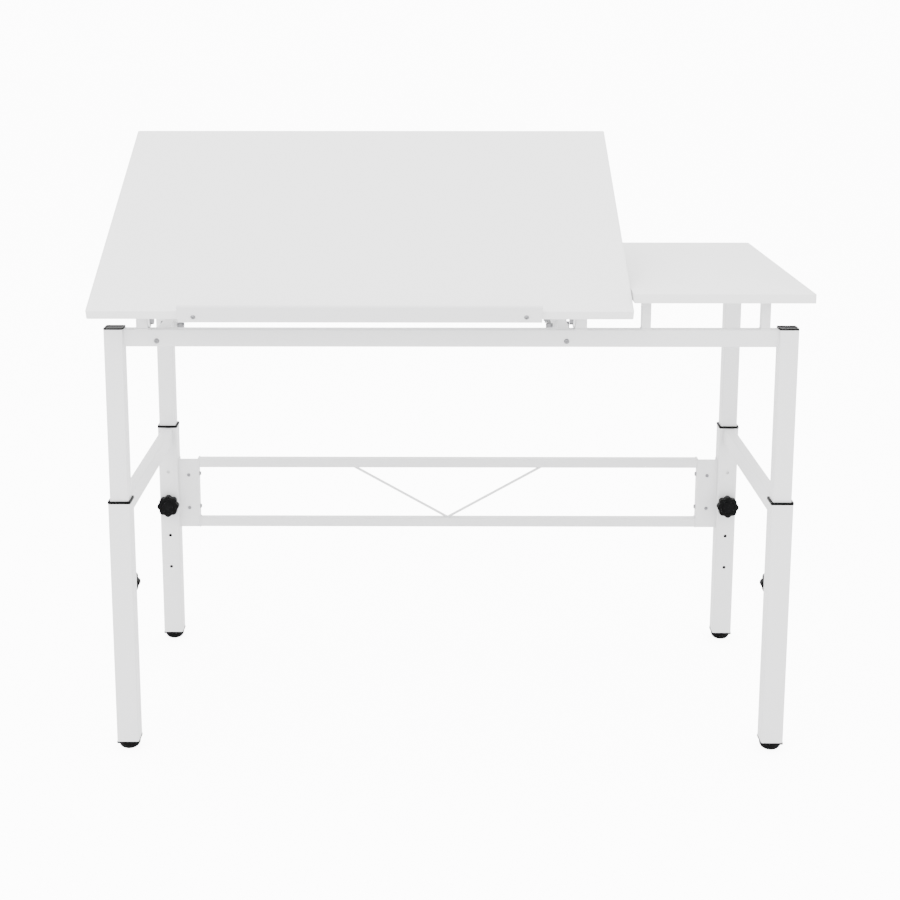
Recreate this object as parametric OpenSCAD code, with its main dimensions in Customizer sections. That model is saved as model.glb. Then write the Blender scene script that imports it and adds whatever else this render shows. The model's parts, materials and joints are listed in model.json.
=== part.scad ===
// Drafting table with a tilting board, a fixed side table and legs of adjustable height.
// X runs from left to right, Y from the front edge to the back, Z up.
// The origin is on the floor, in the middle of the space that the table takes up.

/* [Tops] */
// width over both tops
table_w = 1200; // [900:10:1600]
// depth of both tops
table_d = 600; // [450:10:800]
// height of the side table's upper face
table_h = 822; // [650:1:950]
// thickness of both panels
panel_t = 15; // [12:1:25]
// width of the fixed side table
side_w = 300; // [200:10:400]
// gap between the two panels
panel_gap = 2; // [1:0.5:5]
// radius of the panels' corners
panel_r = 3; // [1:1:10]

/* [Tilt] */
// angle at which the board is drawn
tilt = 25; // [0:1:60]
// distance of the pivot behind the front edge
pivot_back = 50; // [40:1:80]
// height of the pivot above the floor
pivot_h = 769; // [700:1:800]
// radius of the pivot bolts
pivot_r = 4; // [3:0.5:6]
// length from one end of a prop leg to the other, the same as from pivot to prop hinge
prop_l = 230; // [200:5:260]
// radius of the prop's cross rod
rod_r = 6; // [4:0.5:8]
// radius of the prop's rollers
roller_r = 23.7; // [20:0.1:26]
// width of a roller
roller_w = 13; // [10:1:20]

/* [Legs] */
// distance from the middle of the table to a leg's axis
leg_x = 566; // [450:1:700]
// distance from the front edge to the front legs' axis
leg_y = 50; // [30:1:80]
// distance between the front and the rear legs' axes
leg_pitch = 515; // [350:1:600]
// side of the square outer tube
outer_s = 38; // [30:0.5:50]
// side of the square inner tube
inner_s = 32; // [25:0.5:44]
// wall of both tubes
wall = 1.5; // [1:0.1:3]
// height of the outer tube's upper end
outer_top = 452; // [380:1:520]
// height of the inner tube's lower end
inner_low = 253; // [180:1:300]
// height of the plastic foot below its tube
foot_h = 17; // [8:1:30]
// height of the lowest hole
hole_low = 159; // [100:1:250]
// distance from one hole to the next
hole_pitch = 67; // [40:1:80]
// number of holes in a leg
holes = 4; // [2:1:6]
// hole that the knob is in, counted from the lowest as 0
knob_hole = 2; // [0:1:5]
// radius of a hole
hole_r = 3.25; // [2.5:0.25:5]

/* [Knobs] */
// radius over the knob's lobes
knob_r = 21.5; // [15:0.5:30]
// number of lobes
lobes = 8; // [5:1:9]
// thickness of the knob's lobed part
knob_t = 15; // [10:1:20]
// radius of the knob's stud
stud_r = 2.95; // [2:0.05:4]

/* [Upper frame] */
// height of the rails' upper face
rail_top = 755; // [600:1:780]
// height of a rail's section
rail_h = 30; // [20:1:50]
// depth of a rail's section
rail_d = 20; // [15:1:40]
// side of the square hinge posts
post_s = 20; // [15:1:30]
// side of the side table's square posts
side_post_s = 16; // [12:1:30]
// distance from the board's middle to a hinge post's axis
hinge_post_x = 368; // [300:1:400]
// distance from the board's middle to a bearer's axis
bearer_x = 344; // [280:1:360]
// side of the square bearers
bearer_s = 20; // [15:1:30]
// distance from the table's middle to the side table's two rows of posts
side_post_x = [327, 527];

/* [Lower frame] */
// height of the side stretchers' section
stretcher_h = 34; // [20:1:50]
// width of the side stretchers' section
stretcher_w = 20; // [15:1:40]
// height of the upper rear bar's upper face
bar_top = 385; // [300:1:440]
// height of the lower rear bar's upper face
bar_low = 260; // [150:1:300]
// height of a rear bar's section
bar_h = 18; // [12:1:30]
// depth of a rear bar's section
bar_d = 20; // [12:1:30]
// width of the channels at the bars' ends
channel_w = 41; // [30:1:60]
// radius of the brace rods
brace_r = 2.5; // [2:0.5:5]
// distance from the middle to a brace rod's upper end
brace_x = 190; // [100:5:300]

/* [Pencil ledge] */
// length of the ledge
ledge_l = 598; // [200:1:890]
// thickness of the ledge
ledge_t = 5; // [3:0.5:10]
// height of the ledge above the board's surface
ledge_up = 12.5; // [5:0.5:25]
// height of the ledge below the board's underside
ledge_down = 4; // [0:0.5:10]
// distance from the ledge's middle to each of its screws
ledge_screw_x = 273; // [100:1:290]

/* [Hidden] */
$fn = 48;
white = [0.93, 0.93, 0.93];
panel_white = [0.9, 0.9, 0.9];
black = [0.06, 0.06, 0.06];
steel = [0.7, 0.7, 0.72];

// clearance between pieces that move on one another without a bearing fit
gap = 0.3;
// radial clearance of a running fit, and of a bolt in its hole
run = 0.05;
// how much narrower a plug is than the tube it is pressed into
plug_fit = 0.2;
// how far a cutting body reaches past the wall it cuts
past = 1;

board_w = table_w - side_w - panel_gap / 2;
board_x = -table_w / 2 + (table_w - side_w) / 2;
leg_xs = [-leg_x, leg_x];
leg_ys = [leg_y, leg_y + leg_pitch];
rear_y = leg_y + leg_pitch;
panel_under = table_h - panel_t;
knob_z = hole_low + knob_hole * hole_pitch;
rail_l = 2 * leg_x - inner_s;

// the board's front upper corner and the ledge's, measured from the pivot with the board flat
over = table_h - pivot_h;
under = over - panel_t;
front_edge = -pivot_back;
ledge_chamfer = 1;
ledge_face = front_edge - ledge_t;
front_y = pivot_back + ledge_face * cos(tilt) - (over + ledge_up - ledge_chamfer) * sin(tilt);
mid_y = (table_d + front_y) / 2;

// where the prop is: its hinge and its rod, measured from the pivot
hinge_at = [prop_l * cos(tilt), prop_l * sin(tilt)];
rod_at = [2 * prop_l * cos(tilt), 0];

// radii of the corners of the steel sections
leg_corner = 3;
tube_corner = 2.5;
bar_corner = 2;

// collars, caps, guides and feet
collar_t = 4.5;
collar_deep = 26;
collar_rim = 1.5;
cap_t = 2.5;
cap_deep = 14;
cap_rim = 1;
guide_deep = 14;
guide_t = 8;
foot_flange = 3;
foot_rim = 1.5;
foot_flat_r = 7;
foot_plug = 22;

// leg knobs and their inserts
insert_r = 4.5;
insert_flange_r = 8;
insert_out = 2;
knob_gap = 0.3;
neck_r = 9;
neck_t = 5;
bore_deep = 8;
crown_t = 3;

// channels at the ends of the rear bars, and their screws
channel_t = 2;
channel_x = leg_x - outer_s / 2 - channel_w;
channel_h = bar_top - bar_low + bar_h;
face_screw_r = 2;
leg_screw_r = 3;
leg_screw_y = 3;
screw_z = [bar_low + 22, bar_top - 34];

// wood screws, and the plates of the side table's posts that they go through
wood_r = 2.1;
wood_l = 12;
wood_head = 4.2;
wood_head_t = 2.2;
pilot_deep = 11;
plate_t = 3;
plate_l = 52;
plate_screw = 19;

// how far a hinge post stands above its pivot
post_over = 13;

// bearers, their bolts and the stops
bearer_z = rail_top - bearer_s / 2 - 10;
frame_bolt_r = 3;
frame_head_r = 4.6;
frame_head_t = 3;
bearer_plug_t = 14;
stop_t = 4;
stop_bolt_r = 4;
stop_start = 166;
stop_up = 8;
tilt_max = 60;
rod_collar = 3;
rod_collar_t = 5;
stop_end = pivot_back + 2 * prop_l * cos(tilt_max) - rod_r - rod_collar - gap;
stop_bolts = [180, stop_end - 30];
stop_horn = 18;
stop_slope = 60;

// the board's arms and the prop, by their distance from the board's middle
arm_t = 3;
arm_r = 12;
arm_lip = 24;
arm_in = hinge_post_x - post_s / 2 - gap;
arm_screws = [8, 120, 236];
arm_screw_x = arm_in - arm_t - 12;
leg_t = 4;
prop_w = 20;
leg_out = arm_in - arm_t - gap;
roller_out = leg_out - leg_t - gap;
hub_t = 5;
rim_t = 4;
web_in = 1.5;
tyre_edge = 1;

// pivot and lock bolts
bolt_head = 5.3;
nut_t = 6.5;
nut_r = 7.5;
bolt_spare = 2;
lock_r = 17;
lock_t = 12;
lock_lobe_r = 4;
lock_lobes = 5;

// screws of the pencil ledge
ledge_screw_l = 25;

// ---- helpers ----

// from the table's own measures, with Y from the front edge, to the part's frame
module placed() {
    translate([0, -mid_y, 0])
        children();
}

// the board's own frame: Y back and Z up from the pivot, X from the board's middle, turned by the tilt
module on_board() {
    placed()
        translate([board_x, pivot_back, pivot_h])
            rotate([tilt, 0, 0])
                children();
}

// a cylinder that runs along +X from the origin
module along_x(r, h) {
    rotate([0, 90, 0])
        cylinder(r = r, h = h);
}

// a cylinder that runs along -Y from the origin
module along_front(r, h) {
    rotate([90, 0, 0])
        cylinder(r = r, h = h);
}

// a hexagonal prism along +X, by its corner radius
module hex_x(r, h) {
    rotate([0, 90, 0])
        cylinder(r = r, h = h, $fn = 6);
}

// a rectangle centred on the origin with round corners
module round_rect(w, d, r) {
    square([w - 2 * r, d], center = true);
    square([w, d - 2 * r], center = true);
    for (x = [-1, 1], y = [-1, 1])
        translate([x * (w / 2 - r), y * (d / 2 - r)])
            circle(r = r);
}

// a square tube that stands on the origin
module tube(s, h, r) {
    linear_extrude(height = h)
        difference() {
            round_rect(s, s, r);
            square(s - 2 * wall, center = true);
        }
}

// a rectangular tube along X, centred in Y and Z, starting at the origin
module tube_x(d, h, l, r) {
    rotate([90, 0, 90])
        linear_extrude(height = l)
            difference() {
                round_rect(d, h, r);
                square([d - 2 * wall, h - 2 * wall], center = true);
            }
}

// a rectangular tube along +Y, centred in X and Z, starting at the origin
module tube_y(w, h, l, r) {
    rotate([-90, 0, 0])
        linear_extrude(height = l)
            difference() {
                round_rect(w, h, r);
                square([w - 2 * wall, h - 2 * wall], center = true);
            }
}

// a cross-headed screw pointing along -Z from the origin, its head above
module pan_screw(r, head, t, l) {
    slot_l = head * 1.1;
    slot_w = head * 0.22;
    slot_low = t * 0.4;
    difference() {
        cylinder(r1 = head, r2 = head * 0.7, h = t);
        translate([0, 0, slot_low + t / 2]) {
            cube([slot_l, slot_w, t], center = true);
            cube([slot_w, slot_l, t], center = true);
        }
    }
    translate([0, 0, -l])
        cylinder(r = r, h = l);
}

// ---- lower frame ----

// an outer leg tube with its column of holes in the face that looks towards face = -1 (front) or 1 (back)
module outer_leg(x, y, face) {
    color(white)
        placed()
            translate([x, y, 0])
                difference() {
                    translate([0, 0, foot_h])
                        tube(outer_s, outer_top - foot_h, leg_corner);
                    for (i = [0 : holes - 1]) {
                        r = i == knob_hole ? insert_r : hole_r;
                        translate([0, face * (outer_s / 2 - wall / 2), hole_low + i * hole_pitch])
                            rotate([90, 0, 0])
                                cylinder(r = r, h = 2 * wall, center = true);
                    }
                }
}

// the black plastic collars that guide the inner tubes
module leg_collars() {
    bore = inner_s + 2 * gap;
    color(black)
        placed()
            for (x = leg_xs, y = leg_ys)
                translate([x, y, outer_top])
                    difference() {
                        union() {
                            linear_extrude(height = collar_t)
                                round_rect(outer_s + collar_rim, outer_s + collar_rim, leg_corner);
                            translate([0, 0, -collar_deep])
                                linear_extrude(height = collar_deep)
                                    square(outer_s - 2 * wall, center = true);
                        }
                        translate([0, 0, -collar_deep - past])
                            linear_extrude(height = collar_deep + collar_t + 2 * past)
                                square(bore, center = true);
                    }
}

// a domed foot: a plug in the tube, a flange under its wall and a dome on the floor
module foot() {
    rim = outer_s / 2;
    dome_h = foot_h - foot_flange;
    translate([0, 0, dome_h])
        linear_extrude(height = foot_flange)
            round_rect(outer_s + foot_rim, outer_s + foot_rim, leg_corner);
    translate([0, 0, foot_h])
        linear_extrude(height = foot_plug)
            square(outer_s - 2 * wall - plug_fit, center = true);
    rotate_extrude()
        polygon(concat(
            [[0, 0], [foot_flat_r, 0]],
            [for (a = [10 : 10 : 90])
                [foot_flat_r + (rim - foot_flat_r) * sin(a), dome_h * (1 - cos(a))]],
            [[0, dome_h]]
        ));
}

module feet() {
    color(black)
        placed()
            for (x = leg_xs, y = leg_ys)
                translate([x, y, 0])
                    foot();
}

// moves what is drawn along +Z at the origin to a leg's knob, with Z out of the tube's face
module at_knob(x, y, face) {
    placed()
        translate([x, y + face * outer_s / 2, knob_z])
            rotate([face > 0 ? -90 : 90, 0, 0])
                children();
}

// flanged threaded inserts in the tube walls, one for each knob
module knob_inserts() {
    color(steel)
        for (x = leg_xs, y = leg_ys)
            at_knob(x, y, y == leg_y ? 1 : -1)
                difference() {
                    union() {
                        cylinder(r = insert_flange_r, h = insert_out);
                        translate([0, 0, -wall])
                            cylinder(r = insert_r, h = wall);
                    }
                    translate([0, 0, -wall - past])
                        cylinder(r = stud_r + run, h = wall + insert_out + 2 * past);
                }
}

// a square bar between the front and the rear leg of one side
module side_stretcher(x) {
    l = leg_pitch - outer_s;
    color(white)
        placed()
            translate([x, leg_y + outer_s / 2, outer_top - stretcher_h / 2])
                tube_y(stretcher_w, stretcher_h, l, tube_corner);
}

// a bar across the back, between the two end channels
module rear_bar(top) {
    color(white)
        placed()
            translate([-channel_x, rear_y, top - bar_h / 2])
                tube_x(bar_d, bar_h, 2 * channel_x, bar_corner);
}

// a channel that is open to the back and bolted to the rear leg; side is -1 (left) or 1 (right)
module end_channel(side) {
    color(white)
        placed()
            translate([side * channel_x, rear_y - bar_d / 2, bar_low - bar_h])
                scale([side, 1, 1])
                    difference() {
                        cube([channel_w, bar_d, channel_h]);
                        translate([channel_t, channel_t, -past])
                            cube([channel_w - 2 * channel_t, bar_d, channel_h + 2 * past]);
                        for (z = screw_z)
                            translate([0, 0, z - bar_low + bar_h]) {
                                translate([channel_w / 2, channel_t + past, 0])
                                    along_front(face_screw_r, channel_t + 2 * past);
                                translate([-past, bar_d / 2 + leg_screw_y, 0])
                                    along_x(leg_screw_r, channel_w + 2 * past);
                            }
                    }
}

// the channels' screws: two in each front face and two long ones into each leg
module channel_screws() {
    color(steel)
        placed()
            for (side = [-1, 1], z = screw_z) {
                translate([side * (channel_x + channel_w / 2), rear_y - bar_d / 2, z])
                    rotate([90, 0, 0])
                        pan_screw(face_screw_r, 3.6, 2.2, 6);
                translate([side * channel_x, rear_y + leg_screw_y, z])
                    rotate([0, -side * 90, 0])
                        pan_screw(leg_screw_r, 5, 3, channel_w);
            }
}

// a thin rod from the upper bar down to the middle of the lower bar, where it meets its twin
module brace_rod(side) {
    rise = bar_top - bar_h - bar_low;
    spare = 20;
    color(white)
        placed()
            translate([0, rear_y, bar_low])
                scale([side, 1, 1])
                    intersection() {
                        rotate([0, atan2(brace_x, rise), 0])
                            translate([0, 0, -spare])
                                cylinder(r = brace_r, h = norm([brace_x, rise]) + 2 * spare);
                        translate([0, -2 * brace_r, 0])
                            cube([brace_x + spare, 4 * brace_r, rise]);
                    }
}

// ---- knobs ----

// a black star knob with its back at the origin and its crown along +Z
module star_knob(r, t, bore) {
    lobe_r = r * 0.24;
    difference() {
        union() {
            cylinder(r = neck_r, h = neck_t);
            translate([0, 0, neck_t]) {
                linear_extrude(height = t) {
                    circle(r = r - lobe_r);
                    for (i = [0 : lobes - 1])
                        rotate(i * 360 / lobes)
                            translate([r - lobe_r, 0])
                                circle(r = lobe_r);
                }
                translate([0, 0, t])
                    cylinder(r1 = r * 0.62, r2 = r * 0.4, h = crown_t);
            }
        }
        translate([0, 0, -past])
            cylinder(r = bore, h = past + neck_t + bore_deep);
    }
}

module leg_knob(x, y, face) {
    color(black)
        at_knob(x, y, face)
            translate([0, 0, insert_out + knob_gap])
                star_knob(knob_r, knob_t, stud_r);
}

// a knob's threaded stud; its end stops short of the inner tube
module leg_stud(x, y, face) {
    reach = (outer_s - inner_s) / 2 - gap;
    color(steel)
        at_knob(x, y, face)
            translate([0, 0, -reach])
                cylinder(r = stud_r, h = reach + insert_out + knob_gap + neck_t + bore_deep);
}

// ---- upper frame ----

module inner_tube(x, y) {
    color(white)
        placed()
            translate([x, y, inner_low])
                tube(inner_s, rail_top - inner_low, tube_corner);
}

module tube_caps() {
    color(black)
        placed()
            for (x = leg_xs, y = leg_ys)
                translate([x, y, rail_top]) {
                    linear_extrude(height = cap_t)
                        round_rect(inner_s + cap_rim, inner_s + cap_rim, leg_corner);
                    translate([0, 0, -cap_deep])
                        linear_extrude(height = cap_deep)
                            square(inner_s - 2 * wall - plug_fit, center = true);
                }
}

// plastic plugs at the inner tubes' lower ends that slide in the outer tubes
module tube_guides() {
    flange = outer_s - 2 * wall - 2 * gap;
    color(black)
        placed()
            for (x = leg_xs, y = leg_ys)
                translate([x, y, inner_low]) {
                    linear_extrude(height = guide_deep)
                        square(inner_s - 2 * wall - plug_fit, center = true);
                    translate([0, 0, -guide_t])
                        linear_extrude(height = guide_t)
                            intersection() {
                                square(flange, center = true);
                                translate([0, y == leg_y ? -2 : 2])
                                    square([flange, inner_s + 2], center = true);
                            }
                }
}

// a rail between the inner tubes of the two front legs or of the two rear ones
module rail(y) {
    color(white)
        placed()
            difference() {
                translate([-rail_l / 2, y, rail_top - rail_h / 2])
                    tube_x(rail_d, rail_h, rail_l, tube_corner);
                for (side = [-1, 1])
                    translate([board_x + side * bearer_x, y + rail_d / 2 + past, bearer_z])
                        along_front(frame_bolt_r + run, rail_d + 2 * past);
            }
}

// a post on the front rail that carries a pivot bolt of the board
module hinge_post(side) {
    color(white)
        placed()
            translate([board_x + side * hinge_post_x, leg_y, rail_top])
                difference() {
                    tube(post_s, pivot_h - rail_top + post_over, bar_corner);
                    translate([-post_s, 0, pivot_h - rail_top])
                        along_x(pivot_r, 2 * post_s);
                }
}

// a bolt along +X through the origin: hexagonal head, shank and nut
module x_bolt(r, l, nut) {
    translate([-bolt_head, 0, 0])
        hex_x(nut_r, bolt_head);
    along_x(r, l);
    if (nut)
        translate([l - nut_t - bolt_spare, 0, 0])
            hex_x(nut_r, nut_t);
}

// the board's pivot bolts: head inside the arm, thread in the post, end flush with its outer side
module pivot_bolts() {
    color(steel)
        placed()
            for (side = [-1, 1])
                translate([board_x, leg_y, pivot_h])
                    scale([side, 1, 1])
                        translate([arm_in - arm_t - gap, 0, 0])
                            x_bolt(pivot_r, arm_t + 2 * gap + post_s, false);
}

// a post of the side table, with a plate under the panel
module side_post(x, y) {
    h = panel_under - rail_top - plate_t;
    color(white)
        placed()
            translate([x, y, rail_top]) {
                tube(side_post_s, h, bar_corner);
                translate([0, 0, h])
                    difference() {
                        linear_extrude(height = plate_t)
                            round_rect(side_post_s, plate_l, leg_corner);
                        for (s = [-1, 1])
                            translate([0, s * plate_screw, -past])
                                cylinder(r = wood_r + run, h = plate_t + 2 * past);
                    }
            }
}

module side_table() {
    w = side_w - panel_gap / 2;
    color(panel_white)
        placed()
            difference() {
                translate([table_w / 2 - w / 2, table_d / 2, panel_under])
                    linear_extrude(height = panel_t)
                        round_rect(w, table_d, panel_r);
                for (x = side_post_x, y = leg_ys, s = [-1, 1])
                    translate([x, y + s * plate_screw, panel_under - past])
                        cylinder(r = wood_r, h = pilot_deep);
            }
}

module side_table_screws() {
    color(steel)
        placed()
            for (x = side_post_x, y = leg_ys, s = [-1, 1])
                translate([x, y + s * plate_screw, panel_under - plate_t])
                    rotate([180, 0, 0])
                        pan_screw(wood_r, wood_head, wood_head_t, wood_l);
}

// a bearer from the front rail to the rear rail, on which a roller of the prop runs
module bearer(side) {
    l = leg_pitch - rail_d;
    color(white)
        placed()
            difference() {
                translate([board_x + side * bearer_x, leg_y + rail_d / 2, bearer_z])
                    tube_y(bearer_s, bearer_s, l, bar_corner);
                for (y = stop_bolts)
                    translate([board_x + side * bearer_x - bearer_s, y, bearer_z])
                        along_x(stop_bolt_r + run, 2 * bearer_s);
            }
}

// a flat bar on a bearer's inner side that ends the rod's travel when the board is steepest
module stop(side) {
    z0 = bearer_z - bearer_s / 2;
    z1 = z0 + bearer_s;
    top = pivot_h + stop_up;
    color(white)
        placed()
            translate([board_x + side * (bearer_x - bearer_s / 2 - stop_t), 0, 0])
                scale([side, 1, 1])
                    difference() {
                        rotate([90, 0, 90])
                            linear_extrude(height = stop_t)
                                polygon([
                                    [stop_start, z0], [stop_end, z0], [stop_end, top],
                                    [stop_end - stop_horn, top], [stop_end - stop_slope, z1],
                                    [stop_start, z1]
                                ]);
                        for (y = stop_bolts)
                            translate([-past, y, bearer_z])
                                along_x(stop_bolt_r + run, stop_t + 2 * past);
                    }
}

// the bearers' bolts: a cross-headed one with its plug in each end, and two through each stop
module frame_bolts() {
    plug = bearer_s - 2 * wall;
    color(steel)
        placed()
            for (side = [-1, 1])
                translate([board_x + side * bearer_x, 0, bearer_z]) {
                    for (face = [-1, 1])
                        translate([0, (leg_y + rear_y) / 2, 0])
                            rotate([0, 0, face < 0 ? 0 : 180])
                                translate([0, -(leg_pitch + rail_d) / 2, 0]) {
                                    rotate([90, 0, 0])
                                        pan_screw(frame_bolt_r, frame_head_r, frame_head_t,
                                                  rail_d + bearer_plug_t);
                                    translate([0, rail_d + bearer_plug_t, 0])
                                        difference() {
                                            translate([-plug / 2, -bearer_plug_t, -plug / 2])
                                                cube([plug, bearer_plug_t, plug]);
                                            translate([0, past, 0])
                                                along_front(frame_bolt_r + run,
                                                            bearer_plug_t + 2 * past);
                                        }
                                }
                    for (y = stop_bolts)
                        translate([side * bearer_s / 2, y, 0])
                            scale([-side, 1, 1])
                                x_bolt(stop_bolt_r, bearer_s + stop_t + nut_t + 5, true);
                }
}

// ---- board ----

module board() {
    shift_x = (board_w - table_w + side_w) / 2;
    color(panel_white)
        on_board()
            difference() {
                translate([shift_x, table_d / 2 - pivot_back, under])
                    linear_extrude(height = panel_t)
                        round_rect(board_w, table_d, panel_r);
                for (side = [-1, 1]) {
                    for (y = arm_screws)
                        translate([side * arm_screw_x, y, under - past])
                            cylinder(r = wood_r, h = pilot_deep);
                    translate([side * ledge_screw_x, front_edge + ledge_screw_l, under + panel_t / 2])
                        along_front(wood_r, ledge_screw_l + past);
                }
            }
}

// a strip along the board's front edge that keeps pencils and paper from sliding off
module pencil_ledge() {
    h = panel_t + ledge_up + ledge_down;
    c = ledge_chamfer;
    color(white)
        on_board()
            translate([0, front_edge, under - ledge_down])
                difference() {
                    translate([-ledge_l / 2, 0, 0])
                        rotate([90, 0, 90])
                            linear_extrude(height = ledge_l)
                                polygon([
                                    [0, 0], [-ledge_t + c, 0], [-ledge_t, c],
                                    [-ledge_t, h - c], [-ledge_t + c, h], [0, h]
                                ]);
                    for (side = [-1, 1])
                        translate([side * ledge_screw_x, past, ledge_down + panel_t / 2])
                            along_front(wood_r + run, ledge_t + 2 * past);
                }
}

// a steel angle under the board: it turns on the pivot bolt and carries the prop's hinge
module board_arm(side) {
    color(white)
        on_board()
            scale([side, 1, 1])
                difference() {
                    union() {
                        translate([arm_in - arm_t, 0, 0])
                            rotate([90, 0, 90])
                                linear_extrude(height = arm_t) {
                                    circle(r = arm_r);
                                    translate([prop_l, 0])
                                        circle(r = arm_r);
                                    translate([-arm_r, 0])
                                        square([prop_l + 2 * arm_r, under]);
                                    translate([0, -arm_r])
                                        square([prop_l, 2 * arm_r]);
                                }
                        translate([arm_in - arm_t - arm_lip, -arm_r, under - arm_t])
                            cube([arm_lip + arm_t, prop_l + 2 * arm_r, arm_t]);
                    }
                    for (y = [0, prop_l])
                        translate([arm_in - arm_t - past, y, 0])
                            along_x(pivot_r + run, arm_t + 2 * past);
                    for (y = arm_screws)
                        translate([arm_screw_x, y, under - arm_t - past])
                            cylinder(r = wood_r + run, h = arm_t + 2 * past);
                }
}

// the wood screws of the board: through the arms from below, and through the ledge from the front
module board_screws() {
    color(steel)
        on_board()
            for (side = [-1, 1]) {
                for (y = arm_screws)
                    translate([side * arm_screw_x, y, under - arm_t])
                        rotate([180, 0, 0])
                            pan_screw(wood_r, wood_head, wood_head_t, wood_l);
                translate([side * ledge_screw_x, front_edge - ledge_t, under + panel_t / 2])
                    rotate([90, 0, 0])
                        pan_screw(wood_r, wood_head, wood_head_t, ledge_screw_l);
            }
}

// the bolts on which the prop's legs turn and the lock knobs run
module lock_bolts() {
    color(steel)
        on_board()
            translate([0, prop_l, 0])
                for (side = [-1, 1])
                    scale([-side, 1, 1])
                        translate([-arm_in, 0, 0])
                            x_bolt(pivot_r, arm_t + leg_t + 3 * gap + lock_t + bolt_spare, false);
}

// a small knob that clamps a prop leg against its arm
module lock_knob(side) {
    color(black)
        on_board()
            translate([0, prop_l, 0])
                scale([side, 1, 1])
                    translate([arm_in - arm_t - 2 * gap - leg_t - lock_t, 0, 0])
                        difference() {
                            rotate([90, 0, 90])
                                linear_extrude(height = lock_t) {
                                    circle(r = lock_r - lock_lobe_r);
                                    for (i = [0 : lock_lobes - 1])
                                        rotate(i * 360 / lock_lobes)
                                            translate([lock_r - lock_lobe_r, 0])
                                                circle(r = lock_lobe_r);
                                }
                            translate([-past, 0, 0])
                                along_x(pivot_r + run, lock_t + 2 * past);
                        }
}

// ---- prop ----

// a flat bar from the board's arm down to the cross rod
module prop_leg(side) {
    down = atan2(rod_at[1] - hinge_at[1], rod_at[0] - hinge_at[0]);
    color(white)
        placed()
            translate([board_x, pivot_back + hinge_at[0], pivot_h + hinge_at[1]])
                rotate([down, 0, 0])
                    scale([side, 1, 1])
                        difference() {
                            translate([leg_out - leg_t, 0, 0])
                                rotate([90, 0, 90])
                                    linear_extrude(height = leg_t) {
                                        circle(r = prop_w / 2);
                                        translate([0, -prop_w / 2])
                                            square([prop_l, prop_w]);
                                        translate([prop_l, 0])
                                            circle(r = prop_w / 2);
                                    }
                            translate([leg_out - leg_t - past, 0, 0])
                                along_x(pivot_r + run, leg_t + 2 * past);
                            translate([leg_out - leg_t - past, prop_l, 0])
                                along_x(rod_r, leg_t + 2 * past);
                        }
}

// the cross rod, with a collar beside each roller
module prop_rod() {
    color(steel)
        placed()
            translate([board_x, pivot_back + rod_at[0], pivot_h]) {
                translate([-leg_out, 0, 0])
                    along_x(rod_r, 2 * leg_out);
                for (side = [-1, 1])
                    scale([side, 1, 1])
                        translate([roller_out - roller_w - gap - rod_collar_t, 0, 0])
                            along_x(rod_r + rod_collar, rod_collar_t);
            }
}

// a roller that turns on the rod and runs along its bearer: hub, web and rim with eased edges
module prop_roller(side) {
    bore = rod_r + run;
    hub = rod_r + hub_t;
    rim = roller_r - rim_t;
    edge = roller_r - tyre_edge;
    w = roller_w;
    color(black)
        placed()
            translate([board_x, pivot_back + rod_at[0], pivot_h])
                scale([side, 1, 1])
                    translate([roller_out - w, 0, 0])
                        rotate([0, 90, 0])
                            rotate_extrude()
                                polygon([
                                    [bore, 0], [hub, 0], [hub, web_in], [rim, web_in],
                                    [rim, 0], [edge, 0], [roller_r, tyre_edge],
                                    [roller_r, w - tyre_edge], [edge, w], [rim, w],
                                    [rim, w - web_in], [hub, w - web_in], [hub, w], [bore, w]
                                ]);
}

// ---- what is drawn ----

outer_leg(-leg_x, leg_y, 1);  // leg_front_left
outer_leg(leg_x, leg_y, 1);  // leg_front_right
outer_leg(-leg_x, rear_y, -1);  // leg_rear_left
outer_leg(leg_x, rear_y, -1);  // leg_rear_right
leg_collars();
feet();
knob_inserts();
side_stretcher(-leg_x);  // side_stretcher_left
side_stretcher(leg_x);  // side_stretcher_right
rear_bar(bar_top);  // rear_bar_upper
rear_bar(bar_low);  // rear_bar_lower
end_channel(-1);  // end_channel_left
end_channel(1);  // end_channel_right
brace_rod(-1);  // brace_rod_left
brace_rod(1);  // brace_rod_right
channel_screws();
leg_knob(-leg_x, leg_y, 1);  // knob_front_left
leg_knob(leg_x, leg_y, 1);  // knob_front_right
leg_knob(-leg_x, rear_y, -1);  // knob_rear_left
leg_knob(leg_x, rear_y, -1);  // knob_rear_right
leg_stud(-leg_x, leg_y, 1);  // stud_front_left
leg_stud(leg_x, leg_y, 1);  // stud_front_right
leg_stud(-leg_x, rear_y, -1);  // stud_rear_left
leg_stud(leg_x, rear_y, -1);  // stud_rear_right
inner_tube(-leg_x, leg_y);  // inner_tube_front_left
inner_tube(leg_x, leg_y);  // inner_tube_front_right
inner_tube(-leg_x, rear_y);  // inner_tube_rear_left
inner_tube(leg_x, rear_y);  // inner_tube_rear_right
tube_caps();
tube_guides();
rail(leg_y);  // front_rail
rail(rear_y);  // rear_rail
hinge_post(-1);  // hinge_post_left
hinge_post(1);  // hinge_post_right
pivot_bolts();
side_post(side_post_x[0], leg_y);  // side_post_front_inner
side_post(side_post_x[1], leg_y);  // side_post_front_outer
side_post(side_post_x[0], rear_y);  // side_post_rear_inner
side_post(side_post_x[1], rear_y);  // side_post_rear_outer
side_table();
side_table_screws();
bearer(-1);  // bearer_left
bearer(1);  // bearer_right
stop(-1);  // stop_left
stop(1);  // stop_right
frame_bolts();
board();
pencil_ledge();
board_screws();
board_arm(-1);  // board_arm_left
board_arm(1);  // board_arm_right
lock_bolts();
lock_knob(-1);  // lock_knob_left
lock_knob(1);  // lock_knob_right
prop_leg(-1);  // prop_leg_left
prop_leg(1);  // prop_leg_right
prop_rod();
prop_roller(-1);  // prop_roller_left
prop_roller(1);  // prop_roller_right
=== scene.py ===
import json
import math

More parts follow.
